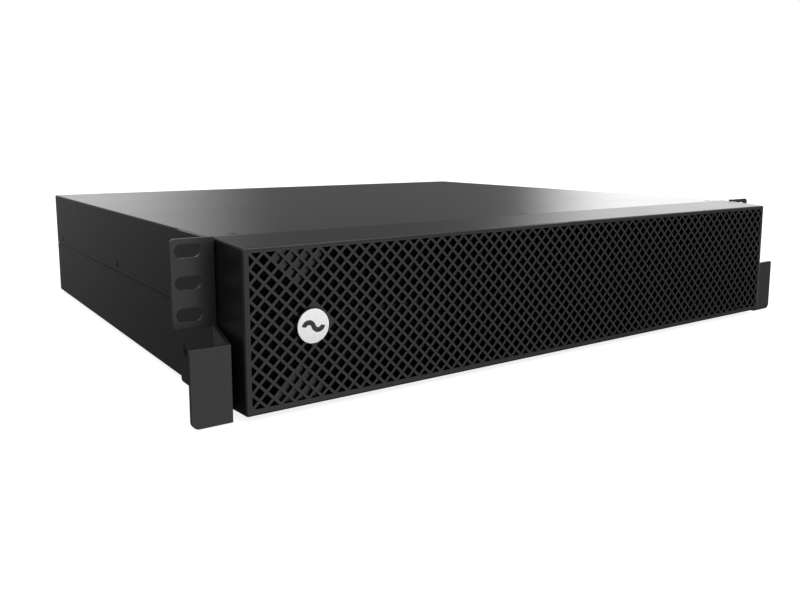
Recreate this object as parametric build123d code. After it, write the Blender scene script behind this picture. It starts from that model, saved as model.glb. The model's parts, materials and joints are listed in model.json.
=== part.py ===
"""A 2U uninterruptible power supply for a 19-inch rack, as separate pieces.

Millimetres, +Z up, front towards -Y. The origin is the middle of the bounding box
in X and Y, at the surface that the feet stand on.
"""
from build123d import *
import math
import os

# ---- overall sizes -------------------------------------------------------------
chassis_width = 438.0
chassis_height = 85.3
chassis_depth = 375.0
bezel_depth = 34.0
rear_reach = 8.0            # how far the furthest rear fitting stands off the rear panel
foot_height = 2.5
sheet = 1.2                 # steel of the chassis

# ---- clearances ----------------------------------------------------------------
body_gap = 0.3              # between pieces that move past each other
fit_gap = 0.05              # radial gap of a pin, screw or shaft in its hole
lay_gap = 0.1               # between sheets that lie side by side
cover_split = 43.1          # height of the cover's lower edge above the chassis underside
split_gap = 0.5             # open joint between cover and base

# ---- front bezel ---------------------------------------------------------------
bezel_front_inset = 2.0     # per side, the front is narrower than the chassis
bezel_front_low = 1.0       # the front's lower edge above the chassis underside
bezel_front_drop = 2.1      # the front's upper edge below the roof
bezel_side_inset = 0.4      # per side, so that the bezel passes between the brackets
bezel_wall = 2.2
bezel_plate = 3.0
bezel_edge_round = 1.0
cell_pitch = 7.632          # diamond to diamond, along X and along Z
bar_width = 1.45
grille_border = 2.8         # least plain border round the lattice
grille_raise = 0.4          # of the lattice's middle above the middle of the front
grille_rim = 1.2            # of the lattice plate, inside the frame's window
blind_depth = 2.0           # how deep the closed cells are
blind_inset = 7             # half cells from the lattice's left edge to the closed cells' middle
blind_reach = 3             # half cells from there to the end of their longest row
badge_inset = 9             # half cells from the lattice's left edge to the badge's solid patch
badge_patch = 3             # half cells from the patch's centre to its corner
badge_offset = 1.4          # of the badge's stem, left of the patch's centre
badge_radius = 8.6
badge_thickness = 2.2
badge_rounding = 0.4
badge_stem_radius = 3.0
badge_clip_radius = 5.5
badge_clip_thickness = 1.2
stud_radius = 2.5
stud_length = 11.0
stud_inset = 8.5            # from the bezel's side and from its top or bottom
socket_wall = 2.0

# ---- rack brackets ---------------------------------------------------------------
bracket_sheet = 2.0
ear_overhang = 22.3         # past the chassis side, for 482.6 mm across the ears
ear_forward = 4.7           # ear face in front of the chassis
ear_rise = 0.8              # the ear's top above the roof
ear_height = 44.8
ear_corner = 2.5
slot_overhang = 13.55       # slots' middle past the chassis side, for the 465.1 mm rack spacing
slot_pitch = 15.875
slot_drop = 22.0            # middle slot below the ear's top
slot_length = 13.4
slot_width = 6.8
bracket_back = 46.5         # rear edge of the side plate, behind the chassis front
bracket_corner = 2.0
bracket_low = -0.3          # heights above the chassis underside
bracket_drop = 0.3          # the plate's top below the roof
handle_forward = 28.5
handle_overhang = 23.0
handle_slant = 2.4          # how far the handle's web leans outwards
handle_low = -1.8
handle_high = 36.8
handle_corner = 4.0
handle_top_corner = 1.0
handle_step = 12.0          # length of the slope under the web

# ---- screws ----------------------------------------------------------------------
cover_screw_radius = 1.5
cover_head_radius = 2.6
bracket_screw_radius = 2.0
bracket_head_radius = 3.9
cover_screw_length = 5.0
cover_screw_front = 7.0     # first side screw behind the chassis front
cover_screw_middle = 10.0   # middle side screw in front of the chassis middle
cover_screw_back = 22.0     # last side screw in front of the rear face
cover_screw_lift = 5.4      # side screws above the cover's lower edge
cover_top_screw_back = 7.1
cover_top_screw_edge = 15.0
bracket_screw_rows = (14.0, 38.0)
bracket_screw_edge = 18.3   # from the chassis underside, and from the roof
lap_height = 10.0           # how far the base reaches up inside the cover
fold_round = 0.9            # of the sheet's thickness, along the chassis's long edges

# ---- battery bay -------------------------------------------------------------------
bay_edge = 15.0             # from the chassis lap strip to the tray's side
partition_gap = 3.0         # from the tray's other side to the bay partition
partition_depth = 322.0
block_length = 151.0
block_width = 65.0
block_height = 94.0
block_count = 3
terminal_height = 6.0
block_gap = 2.0
tray_sheet = 1.2
tray_side_height = 28.0
bay_side_gap = 3.0          # from the blocks to the tray's sides
tray_plate_thickness = 1.5
tray_plate_lip = 4.0        # how far the tray's front plate laps over the bay opening
tray_end_height = 4.0
tray_ear_height = 20.0      # of the lugs that hold the captive screws
tray_ear_reach = 13.0       # of the lugs past the tray's sides
tray_grip_height = 40.0     # of the handle and the captive screws above the tray's floor
tray_grip_half = 38.0
tray_grip_depth = 18.0
tray_grip_radius = 2.5
runner_thickness = 1.2
runner_width = 10.0
runner_inset = 12.0
lead_lift = 1.5             # of the leads above the blocks
thumb_radius = 5.0
thumb_head = 9.0
thumb_shaft_radius = 2.0
thumb_offset = 8.0          # captive screws past the tray's sides
thumb_reach = 9.0
thumb_grooves = 12
lead_radius = 2.0
lead_bend = 5.0
terminal_reach = 60.0
terminal_drop = 12.0        # terminals below the blocks' top
terminal_half = 3.2
contact_radius = 2.5
contact_step = 8.0
contact_length = 11.0
plug_width = 36.0
plug_height = 20.0
plug_depth = 22.0

# ---- electronics -------------------------------------------------------------------
board_left_gap = 6.0        # from the partition
board_right_gap = 9.8       # from the chassis side
board_depth = 300.0
board_thickness = 1.6
standoff_height = 8.0
board_front = 22.0
fin_count = 9
sink_side_gap = 2.0         # each heat sink is narrower than its fan, per side
sink_depth = 130.0
sink_height = 48.0
sink_front = 175.0

# ---- rear fittings -----------------------------------------------------------------
fan_size = 60.0
fan_depth = 25.0
fan_wall = 1.5
fan_hole_inset = 5.0
fan_edge = 11.8             # from the chassis side to the right fan
fan_space = 8.0             # between the fans
fan_hub_radius = 13.0
fan_screw_radius = 2.0
fan_tip_gap = 0.6
fan_shaft_radius = 1.5
outlet_edge = 4.3           # from the chassis side to the first outlet
outlet_space = 6.0          # between outlets
outlet_count = 4            # in each row
outlet_rows = (23.0, 60.0)  # heights above the chassis underside
outlet_width = 27.0
outlet_height = 20.0
outlet_depth = 26.0
socket_wall_width = 2.5     # of a socket round its cavity
island_gap = 2.0            # round an outlet's inner tongue
inlet_space = 64.0          # from the left fan's middle to the inlet's
inlet_row = 24.0
breaker_row = 62.0
switch_space = 32.0         # from the inlet's middle to the power switch's
bush_wall = 2.2
bush_depth = 24.0
nut_margin = 2.0
button_radius = 5.5
button_proud = 3.5
button_travel = 3.0
breaker_button_radius = 3.8
breaker_proud = 1.5
breaker_travel = 3.0
card_space = 54.0           # from the power switch's middle to the card slot's
card_width = 66.0
card_height = 30.0
card_row = 61.0
port_row = 24.0
network_space = 24.0        # from the usb port's middle to the network port's
serial_space = 36.0         # from the network port's middle to the serial port's
service_low = 8.0           # the service plate's lower and upper edge
service_high = 40.0
service_margin = 5.0        # from the plate's edge to its screws, and on to the panel's opening
ground_edge = 7.8
ground_row = 11.0
panel_screw_radius = 1.5
panel_screw_edge = 6.0
foot_radius = 9.0
foot_inset = 30.0

# ---- places worked out from the sizes ------------------------------------------------
front_y = -(bezel_depth + chassis_depth + rear_reach) / 2
seam_y = front_y + bezel_depth              # front of the chassis
rear_y = seam_y + chassis_depth             # outer face of the rear panel
floor_z = foot_height
roof_z = floor_z + chassis_height
half_width = chassis_width / 2
inside_x = half_width - sheet
floor_top = floor_z + sheet
roof_under = roof_z - sheet
split_z = floor_z + cover_split
board_z = floor_top + standoff_height
board_top = board_z + board_thickness
tray_floor_z = floor_top + runner_thickness + body_gap
block_z = tray_floor_z + tray_sheet
tray_half = block_length / 2 + bay_side_gap + tray_sheet
tray_middle_x = -inside_x + 2 * sheet + bay_edge + tray_half
partition_x = tray_middle_x + tray_half + partition_gap
lead_z = block_z + block_width + lead_radius + lead_lift
opening_top = lead_z + lead_radius + 1.0
plate_back_y = seam_y - body_gap
plate_front_y = plate_back_y - tray_plate_thickness
block_pitch = block_height + terminal_height + block_gap
first_block_y = seam_y + 4.0
last_gap_y = first_block_y + block_count * block_pitch - block_gap
tray_end_y = last_gap_y + plug_depth + 6.0
plug_x = tray_middle_x + tray_half - plug_width / 2 - 4.0
plug_low = tray_floor_z + tray_sheet
plug_contact_z = plug_low + plug_height / 2
terminal_z = block_z + block_width - terminal_drop
front_half = half_width - bezel_front_inset
front_height = chassis_height - bezel_front_low - bezel_front_drop
cells_across = int(2 * (front_half - grille_border) / cell_pitch)
cells_up = int((front_height - 2 * grille_border) / cell_pitch)
blind_column = blind_inset - cells_across
badge_column = badge_inset - cells_across
lattice_half_x = cells_across * cell_pitch / 2
lattice_half_z = cells_up * cell_pitch / 2
lattice_z = floor_z + bezel_front_low + front_height / 2 + grille_raise
grille_y = front_y
badge_x = badge_column * cell_pitch / 2 - badge_offset
bezel_rear_y = seam_y - body_gap
ear_reach = half_width + ear_overhang
slot_x = half_width + slot_overhang
handle_reach = half_width + handle_overhang
ear_high = chassis_height + ear_rise
ear_low = ear_high - ear_height
slot_middle = ear_high - slot_drop
bracket_high = chassis_height - bracket_drop
side_screw_z = floor_z + cover_split + cover_screw_lift
cover_top_screw_x = (cover_top_screw_edge - half_width, 0.0, half_width - cover_top_screw_edge)
board_width = inside_x - partition_x - board_left_gap - board_right_gap
board_left = partition_x + board_left_gap
board_middle_x = board_left + board_width / 2
board_front_y = seam_y + board_front
fan_x = (inside_x - fan_edge - 1.5 * fan_size - fan_space, inside_x - fan_edge - fan_size / 2)
fan_z = (floor_z + roof_z) / 2
fan_bore_radius = fan_size / 2 - fan_wall
fan_hole_spacing = fan_size - 2 * fan_hole_inset
sink_width = fan_size - 2 * sink_side_gap
panel_in = rear_y - sheet                   # inner face of the rear panel
service_y = rear_y + sheet                  # outer face of the service plate
inlet_x = fan_x[0] - inlet_space
switch_x = inlet_x - switch_space
card_x = switch_x - card_space
usb_x = switch_x
network_x = usb_x - network_space
serial_x = network_x - serial_space
service_left = serial_x - 18.0 - 2 * service_margin
service_right = inlet_x + outlet_width / 2 + 2 * service_margin
ground_x = inside_x - ground_edge
outward = {"+X": Rot(0, 90, 0), "-X": Rot(0, -90, 0), "+Y": Rot(-90, 0, 0), "-Y": Rot(90, 0, 0),
           "+Z": Rot(0, 0, 0), "-Z": Rot(180, 0, 0)}


# ---- helpers -----------------------------------------------------------------------
def block(x0, x1, y0, y1, z0, z1):
    """A box between two corners."""
    size = Box(abs(x1 - x0), abs(y1 - y0), abs(z1 - z0))
    return Pos((x0 + x1) / 2, (y0 + y1) / 2, (z0 + z1) / 2) * size


def rod(point, direction, radius, length):
    """A cylinder that starts at a point and runs in a direction such as "+Y"."""
    base = Cylinder(radius, length, align=(Align.CENTER, Align.CENTER, Align.MIN))
    return Pos(*point) * outward[direction] * base


def ring(point, direction, outer, inner, length):
    """A tube that starts at a point."""
    return rod(point, direction, outer, length) - rod(point, direction, inner, length)


def cut_all(shape, cutters):
    """Take every cutter away from a shape in one step."""
    return shape - Compound(children=list(cutters)) if cutters else shape


def save(name, shapes):
    """Write one node, as one solid or as a group of separate solids."""
    solids = []
    for shape in shapes if isinstance(shapes, (list, tuple)) else [shapes]:
        solids.extend(shape.solids())
    export_step(Compound(children=solids), f"parts/{name}.step", write_pcurves=False)


def slot_prism(x, y0, y1, z, length, width):
    """A lying slot along X, cut through in Y."""
    outline = SlotOverall(length, width)
    plane = Plane(origin=(x, y1, z), x_dir=(1, 0, 0), z_dir=(0, -1, 0))
    return extrude(plane * outline, amount=y1 - y0)


def countersunk(point, direction, shank, head, length):
    """A cross-recessed countersunk screw whose head lies flush at the point."""
    cone_height = head - shank
    cone = Cone(shank, head, cone_height, align=(Align.CENTER, Align.CENTER, Align.MAX))
    stem = Cylinder(shank, length, align=(Align.CENTER, Align.CENTER, Align.MAX))
    recess_depth = cone_height * 0.8
    recess = Box(head, head / 5, recess_depth, align=(Align.CENTER, Align.CENTER, Align.MAX))
    recess += Box(head / 5, head, recess_depth, align=(Align.CENTER, Align.CENTER, Align.MAX))
    return Pos(*point) * outward[direction] * (cone + stem - recess)


def countersink(point, direction, shank, head, depth):
    """The hole that such a screw goes in."""
    cone = Cone(shank + fit_gap, head + fit_gap, head - shank, align=(Align.CENTER, Align.CENTER, Align.MAX))
    stem = Cylinder(shank + fit_gap, depth, align=(Align.CENTER, Align.CENTER, Align.MAX))
    return Pos(*point) * outward[direction] * (cone + stem)


def panhead(point, direction, shank, head, head_height, length):
    """A domed screw that sits on the surface at the point."""
    cap = Cylinder(head, head_height, align=(Align.CENTER, Align.CENTER, Align.MIN))
    cap = fillet(cap.edges().sort_by(Axis.Z)[-1], head_height * 0.6)
    stem = Cylinder(shank, length, align=(Align.CENTER, Align.CENTER, Align.MAX))
    recess = Box(head, head / 4, head_height, align=(Align.CENTER, Align.CENTER, Align.MIN))
    recess += Box(head / 4, head, head_height, align=(Align.CENTER, Align.CENTER, Align.MIN))
    return Pos(*point) * outward[direction] * (cap + stem - Pos(0, 0, head_height / 2) * recess)


def lead(points, radius, bend):
    """A round lead along straight runs joined by arcs."""
    path = FilletPolyline(*points, radius=bend)
    start = path @ 0
    section = Plane(origin=start, z_dir=path % 0) * Circle(radius)
    return sweep(section, path=path)


# ---- chassis ------------------------------------------------------------------------
def side_screw_places():
    """Cover screws on both sides, as (side, y)."""
    rows = (seam_y + cover_screw_front, (seam_y + rear_y) / 2 - cover_screw_middle, rear_y - cover_screw_back)
    return [(side, y) for side in (-1, 1) for y in rows]


def bracket_screw_places():
    """Bracket screws, as (side, y, z)."""
    places = []
    for side in (-1, 1):
        for row in bracket_screw_rows:
            for z in (floor_z + bracket_screw_edge, roof_z - bracket_screw_edge):
                places.append((side, seam_y + row, z))
    return places


def side_direction(side):
    """The outward direction of a side, as -1 or 1."""
    return "+X" if side > 0 else "-X"


def bracket_holes():
    """Tapped holes for the bracket screws, through every chassis wall."""
    return [rod((side * (half_width - 4 * sheet), y, z), side_direction(side),
                bracket_screw_radius + fit_gap, 6 * sheet) for side, y, z in bracket_screw_places()]


def base_tray():
    """Floor and lower side walls, with a strip inside each wall that the cover laps over."""
    floor = block(-half_width, half_width, seam_y, rear_y, floor_z, floor_top)
    shape = floor
    for side in (-1, 1):
        wall = block(side * inside_x, side * half_width, seam_y, rear_y, floor_z, split_z - split_gap / 2)
        strip_out = inside_x - lay_gap
        strip = block(side * (strip_out - sheet), side * strip_out, seam_y + sheet + lay_gap,
                      rear_y - 2 * sheet, split_z - lap_height, split_z + lap_height)
        joggle = block(side * strip_out, side * inside_x, seam_y + sheet + lay_gap,
                       rear_y - 2 * sheet, split_z - lap_height, split_z - split_gap / 2)
        shape = shape + wall + strip + joggle
    edges = shape.edges().filter_by(Axis.Y).filter_by(
        lambda e: abs(abs(e.center().X) - half_width) < 0.01 and abs(e.center().Z - floor_z) < 0.01)
    shape = fillet(edges, sheet * fold_round)
    holes = [rod((side * (half_width - 4 * sheet), y, side_screw_z), side_direction(side),
                 cover_screw_radius + fit_gap, 6 * sheet) for side, y in side_screw_places()]
    return cut_all(shape, holes + bracket_holes())


def top_cover():
    """Roof and upper side walls in one folded sheet."""
    shape = block(-half_width, half_width, seam_y, rear_y, roof_under, roof_z)
    for side in (-1, 1):
        shape += block(side * inside_x, side * half_width, seam_y, rear_y, split_z + split_gap / 2, roof_z)
    edges = shape.edges().filter_by(Axis.Y).filter_by(
        lambda e: abs(abs(e.center().X) - half_width) < 0.01 and abs(e.center().Z - roof_z) < 0.01)
    shape = fillet(edges, sheet * fold_round)
    holes = [countersink((side * half_width, y, side_screw_z), side_direction(side),
                         cover_screw_radius, cover_head_radius, 4 * sheet) for side, y in side_screw_places()]
    holes += [countersink((x, seam_y + cover_top_screw_back, roof_z), "+Z", cover_screw_radius,
                          cover_head_radius, 4 * sheet) for x in cover_top_screw_x]
    return cut_all(shape, holes + bracket_holes())


def thumb_places():
    """The tray's two captive screws, as (x, z)."""
    return [(tray_middle_x + side * (tray_half + thumb_offset), tray_floor_z + tray_grip_height)
            for side in (-1, 1)]


def stud_places():
    """The four studs that the bezel pushes onto, as (x, z)."""
    reach = half_width - bezel_side_inset - stud_inset
    return [(side * reach, z) for side in (-1, 1)
            for z in (floor_z + stud_inset + sheet, roof_z - stud_inset - sheet)]


def front_panel():
    """Sheet behind the bezel, folded back at the top, with the bay opening and air slots."""
    reach = inside_x - lay_gap
    top = roof_under - lay_gap
    shape = block(-reach, reach, seam_y, seam_y + sheet, floor_top + lay_gap, top)
    shape += block(-reach, reach, seam_y, seam_y + 14.0, top - sheet, top)
    opening = tray_half + body_gap
    cutters = [block(tray_middle_x - opening, tray_middle_x + opening, seam_y - 1, seam_y + sheet + 1,
                     tray_floor_z - body_gap, opening_top)]
    slot_step = 12.0
    first_slot = partition_x + 16.0
    for column in range(int((reach - 24.0 - first_slot) // slot_step)):
        for height in (20.0, 42.0, 64.0):
            plane = Plane(origin=(first_slot + column * slot_step, seam_y + sheet + 1, floor_z + height),
                          x_dir=(0, 0, 1), z_dir=(0, -1, 0))
            cutters.append(extrude(plane * SlotOverall(18, 5), amount=sheet + 2))
    cutters += [rod((x, seam_y - 1, z), "+Y", stud_radius * 0.7 + fit_gap, sheet + 2) for x, z in stud_places()]
    cutters += [rod((x, seam_y - 1, z), "+Y", thumb_shaft_radius + body_gap, sheet + 2)
                for x, z in thumb_places()]
    cutters += [rod((x, seam_y + cover_top_screw_back, top - 2 * sheet), "+Z", cover_screw_radius + fit_gap,
                    3 * sheet) for x in cover_top_screw_x]
    return cut_all(shape, cutters)


def bezel_studs():
    """Round-nosed studs riveted to the front panel."""
    studs = []
    for x, z in stud_places():
        body = rod((x, seam_y - stud_length, z), "+Y", stud_radius, stud_length)
        body = fillet(body.edges().sort_by(Axis.Y)[0], stud_radius * 0.6)
        studs.append(body + rod((x, seam_y, z), "+Y", stud_radius * 0.7, sheet + 1.5))
    return studs


# ---- bezel --------------------------------------------------------------------------
def bezel_section(y, inset):
    """The bezel's outline at a depth, drawn in by an inset."""
    share = (bezel_rear_y - y) / (bezel_rear_y - front_y)
    rear_half = half_width - bezel_side_inset
    half = rear_half + (front_half - rear_half) * share
    low = floor_z + bezel_front_low * share
    high = roof_z - bezel_front_drop * share
    plane = Plane(origin=(0, y, (low + high) / 2), x_dir=(1, 0, 0), z_dir=(0, -1, 0))
    return plane * Rectangle(2 * (half - inset), high - low - 2 * inset)


def bezel_frame():
    """Tapered surround, open at the back, with a window for the lattice and four stud sockets."""
    outer = loft([bezel_section(bezel_rear_y, 0), bezel_section(front_y, 0)], ruled=True)
    corners = [e for e in outer.edges() if abs(e.tangent_at(0.5).Y) > 0.9]
    outer = fillet(corners, bezel_edge_round * 1.5)
    rim = [e for e in outer.edges() if abs(e.center().Y - front_y) < 0.01]
    outer = fillet(rim, bezel_edge_round)
    back_of_plate = front_y + bezel_plate
    sections = [bezel_section(bezel_rear_y, bezel_wall), bezel_section(back_of_plate, bezel_wall)]
    inner = loft(sections, ruled=True)
    window_x = lattice_half_x + grille_rim
    window_z = lattice_half_z + grille_rim
    window = block(-window_x, window_x, front_y - 1, back_of_plate + 1,
                   lattice_z - window_z, lattice_z + window_z)
    shape = outer - inner - window
    boss = stud_radius + fit_gap + socket_wall
    boss_front = seam_y - stud_length - 2.0
    boss_back = seam_y - 1.0
    for x, z in stud_places():
        side = 1 if x > 0 else -1
        wall_x = half_width - bezel_side_inset - bezel_wall
        shape += rod((x, boss_front, z), "+Y", boss, boss_back - boss_front)
        shape += block(x + side * (boss - 1.0), side * (wall_x + 0.4), boss_front, boss_back - 1.0,
                       z - 1.2, z + 1.2)
    return cut_all(shape, [rod((x, boss_front - 1, z), "+Y", stud_radius + fit_gap, stud_length + 4)
                           for x, z in stud_places()])


def cell_is_blind(column, row):
    """Two triangles of closed cells point at each other, above and below the badge."""
    depth = cells_up - 1 - abs(row)
    reach = blind_reach - depth if depth >= 0 else blind_reach - 1
    return abs(column - blind_column) <= reach


def cell_outline(column, row):
    """Corners of one diamond opening, kept inside the window, as (x, z)."""
    reach = (cell_pitch - bar_width * math.sqrt(2)) / 2
    x = column * cell_pitch / 2
    z = row * cell_pitch / 2
    left = column > -cells_across
    right = column < cells_across
    below = row > -cells_up
    above = row < cells_up
    points = []
    if left:
        points.append((x - reach, z))
    if below:
        points.append((x, z - reach))
    if right:
        points.append((x + reach, z))
    if above:
        points.append((x, z + reach))
    return points


def cell_wire(column, row, y):
    """The same outline as a wire at a depth."""
    corners = [(x, y, lattice_z + z) for x, z in cell_outline(column, row)]
    return Wire.make_polygon(corners, close=True)


def open_cells():
    """Every cell of the lattice that isn't filled by the badge's patch, as (column, row)."""
    cells = []
    for column in range(-cells_across, cells_across + 1):
        for row in range(-cells_up, cells_up + 1):
            at_corner = abs(column) == cells_across and abs(row) == cells_up
            in_patch = abs(column - badge_column) + abs(row) < badge_patch
            if (column + row) % 2 and not at_corner and not in_patch:
                cells.append((column, row))
    return cells


def grille_layer(y, depth, cells):
    """One layer of the lattice plate, from a depth backwards, with the given cells open."""
    half_x = lattice_half_x + grille_rim
    half_z = lattice_half_z + grille_rim
    corners = [(-half_x, y, lattice_z - half_z), (half_x, y, lattice_z - half_z),
               (half_x, y, lattice_z + half_z), (-half_x, y, lattice_z + half_z)]
    face = Face(Wire.make_polygon(corners, close=True), [cell_wire(column, row, y) for column, row in cells])
    return extrude(face, amount=depth, dir=(0, 1, 0))


def bezel_grille():
    """The lattice plate, with a bore for the badge's stem."""
    plate = grille_layer(grille_y, bezel_plate, open_cells())
    return plate - rod((badge_x, grille_y - 1, lattice_z), "+Y", badge_stem_radius + fit_gap, bezel_plate + 2)


def blind_plugs():
    """The floors of the closed cells, set back from the lattice's face."""
    plugs = []
    for column, row in open_cells():
        if cell_is_blind(column, row):
            face = Face(cell_wire(column, row, grille_y + blind_depth))
            plugs.append(extrude(face, amount=bezel_plate - blind_depth, dir=(0, 1, 0)))
    return plugs


def badge():
    """Round badge on a stem, which turns a quarter when the unit stands on its side."""
    disc = rod((badge_x, grille_y - body_gap, lattice_z), "-Y", badge_radius, badge_thickness)
    disc = fillet(disc.edges().sort_by(Axis.Y)[0], badge_rounding)
    stem = rod((badge_x, grille_y - body_gap, lattice_z), "+Y", badge_stem_radius,
               body_gap + bezel_plate + body_gap + badge_clip_thickness + 1.0)
    return disc + stem


def badge_clip():
    """Ring pressed on the stem behind the lattice."""
    return ring((badge_x, grille_y + bezel_plate + body_gap, lattice_z), "+Y", badge_clip_radius,
                badge_stem_radius + fit_gap / 2, badge_clip_thickness)


# ---- rack brackets --------------------------------------------------------------------
def rack_bracket(side):
    """Side plate, slotted ear and pull handle bent from one sheet, drawn for the right side."""
    inner = half_width
    outer = half_width + bracket_sheet
    ear_face = seam_y - ear_forward
    ear_back = ear_face + bracket_sheet
    handle_face = seam_y - handle_forward
    handle_back = handle_face + bracket_sheet
    plate = block(inner, outer, ear_face, seam_y + bracket_back, floor_z + bracket_low, floor_z + bracket_high)
    back_corners = plate.edges().filter_by(Axis.X).filter_by(lambda e: e.center().Y > seam_y)
    plate = fillet(back_corners, bracket_corner)
    ear = block(inner, ear_reach, ear_face, ear_back, floor_z + ear_low, floor_z + ear_high)
    ear_corners = ear.edges().filter_by(Axis.Y).filter_by(lambda e: e.center().X > ear_reach - 1)
    ear = fillet(ear_corners, ear_corner)
    slots = [slot_prism(slot_x, ear_face - 1, ear_back + 1, floor_z + slot_middle + step * slot_pitch,
                        slot_length, slot_width) for step in (-1, 0, 1)]
    web_points = [(inner, ear_face), (inner + handle_slant, handle_face), (outer + handle_slant, handle_face),
                  (outer, ear_face)]
    low = floor_z + handle_low
    web_face = make_face(Polyline(*[(x, y, low) for x, y in web_points], close=True))
    web = extrude(web_face, amount=ear_low - handle_low, dir=(0, 0, 1))
    slope = [(ear_face, ear_low), (handle_face, handle_high), (handle_face - 1, handle_high),
             (handle_face - 1, ear_low + 1), (ear_face, ear_low + 1)]
    slope_face = make_face(Polyline(*[(inner - 1, y, floor_z + z) for y, z in slope], close=True))
    web -= extrude(slope_face, amount=handle_slant + bracket_sheet + 2, dir=(1, 0, 0))
    step = [(ear_face + 1, low - 1), (ear_face - handle_step, low - 1), (ear_face - handle_step, low),
            (ear_face, floor_z + bracket_low), (ear_face + 1, floor_z + bracket_low)]
    step_face = make_face(Polyline(*[(inner - 1, y, z) for y, z in step], close=True))
    web -= extrude(step_face, amount=handle_slant + bracket_sheet + 2, dir=(1, 0, 0))
    handle = block(inner + handle_slant, handle_reach, handle_face, handle_back, low, floor_z + handle_high)
    lower_corner = handle.edges().filter_by(Axis.Y).filter_by(
        lambda e: e.center().X > handle_reach - 1 and e.center().Z < low + 1)
    handle = fillet(lower_corner, handle_corner)
    upper_corner = handle.edges().filter_by(Axis.Y).filter_by(
        lambda e: e.center().X > handle_reach - 1 and e.center().Z > low + 10)
    handle = fillet(upper_corner, handle_top_corner)
    shape = plate + ear + web + handle - Compound(children=slots)
    holes = [countersink((outer, y, z), "+X", bracket_screw_radius, bracket_head_radius, 6 * sheet)
             for end, y, z in bracket_screw_places() if end > 0]
    shape = cut_all(shape, holes)
    return shape if side > 0 else mirror(shape, about=Plane.YZ)


def bracket_screws():
    """Countersunk screws that hold both brackets."""
    return [countersunk((side * (half_width + bracket_sheet), y, z), side_direction(side),
                        bracket_screw_radius, bracket_head_radius, bracket_sheet + 4 * sheet)
            for side, y, z in bracket_screw_places()]


# ---- battery bay -----------------------------------------------------------------------
def bay_partition():
    """Folded sheet between the battery bay and the electronics."""
    y0 = seam_y + sheet + 15.0
    wall = block(partition_x, partition_x + sheet, y0, y0 + partition_depth - 20.0, floor_top, roof_under - 2.0)
    foot = block(partition_x, partition_x + 5 * sheet, y0, y0 + partition_depth - 20.0,
                 floor_top, floor_top + sheet)
    return wall + foot


def tray_runners():
    """Low-friction strips that the battery tray slides on."""
    return [block(x - runner_width / 2, x + runner_width / 2, seam_y + 6.0, tray_end_y - 10.0,
                  floor_top, floor_top + runner_thickness)
            for x in (tray_middle_x - tray_half + runner_inset, tray_middle_x + tray_half - runner_inset)]


def battery_tray():
    """Open tray with a front plate that closes the bay and has a lug for a screw at each side."""
    x0 = tray_middle_x - tray_half
    x1 = tray_middle_x + tray_half
    z0 = tray_floor_z
    shape = block(x0, x1, plate_front_y, tray_end_y, z0, z0 + tray_sheet)
    for inner, outer in ((x0 + tray_sheet, x0), (x1 - tray_sheet, x1)):
        shape += block(inner, outer, plate_front_y, tray_end_y, z0, z0 + tray_side_height)
    shape += block(x0, x1, tray_end_y - tray_sheet, tray_end_y, z0, z0 + tray_end_height)
    shape += block(x0 - tray_plate_lip, x1 + tray_plate_lip, plate_front_y, plate_back_y,
                   z0, opening_top + tray_plate_lip)
    lug_z = z0 + tray_grip_height
    lugs = block(x0 - tray_ear_reach, x1 + tray_ear_reach, plate_front_y, plate_back_y,
                 lug_z - tray_ear_height / 2, lug_z + tray_ear_height / 2)
    shape += fillet(lugs.edges().filter_by(Axis.Y), tray_plate_lip)
    return cut_all(shape, [rod((x, plate_front_y - 1, z), "+Y", thumb_shaft_radius + fit_gap,
                               tray_plate_thickness + 2) for x, z in thumb_places()])


def thumbscrew(x, z):
    """Captive screw with a grooved head, held by a collar behind the plate."""
    head = rod((x, plate_front_y - body_gap, z), "-Y", thumb_radius, thumb_head)
    head = fillet(head.edges().sort_by(Axis.Y)[0], 0.8)
    grooves = []
    for step in range(thumb_grooves):
        angle = math.radians(step * 360.0 / thumb_grooves)
        grooves.append(rod((x + math.cos(angle) * thumb_radius, plate_front_y - body_gap - thumb_head - 1,
                            z + math.sin(angle) * thumb_radius), "+Y", 0.5, thumb_head))
    head = cut_all(head, grooves)
    head -= block(x - thumb_radius, x + thumb_radius, plate_front_y - body_gap - thumb_head - 1,
                  plate_front_y - body_gap - thumb_head + 1.2, z - 0.6, z + 0.6)
    return head + rod((x, plate_front_y - body_gap, z), "+Y", thumb_shaft_radius, thumb_reach)


def tray_handle():
    """Bent wire pull on the tray's front plate."""
    z = tray_floor_z + tray_grip_height
    left = tray_middle_x - tray_grip_half
    right = tray_middle_x + tray_grip_half
    front = plate_front_y - tray_grip_depth
    return lead([(left, plate_front_y, z), (left, front, z), (right, front, z), (right, plate_front_y, z)],
                tray_grip_radius, 3 * tray_grip_radius)


def block_front(index):
    return first_block_y + index * block_pitch


def battery_blocks():
    """Sealed lead-acid blocks lying on their sides, with a lid line near the terminals."""
    blocks = []
    for index in range(block_count):
        y = block_front(index)
        body = block(tray_middle_x - block_length / 2, tray_middle_x + block_length / 2, y, y + block_height,
                     block_z, block_z + block_width)
        body = fillet(body.edges().filter_by(Axis.Y), 2.0)
        lid = y + block_height - 14.0
        outside = block(tray_middle_x - block_length, tray_middle_x + block_length, lid, lid + 1.2,
                        block_z - 5, block_z + block_width + 5)
        core = block(tray_middle_x - block_length / 2 + 0.8, tray_middle_x + block_length / 2 - 0.8, lid - 1,
                     lid + 3, block_z + 0.8, block_z + block_width - 0.8)
        blocks.append(body - (outside - core))
    return blocks


def battery_terminals():
    """Two spade tabs on each block."""
    tabs = []
    for index in range(block_count):
        y = block_front(index) + block_height
        for side in (-1, 1):
            x = tray_middle_x + side * terminal_reach
            tabs.append(block(x - terminal_half, x + terminal_half, y, y + terminal_height,
                              terminal_z - terminal_half, terminal_z + terminal_half))
    return tabs


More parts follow.
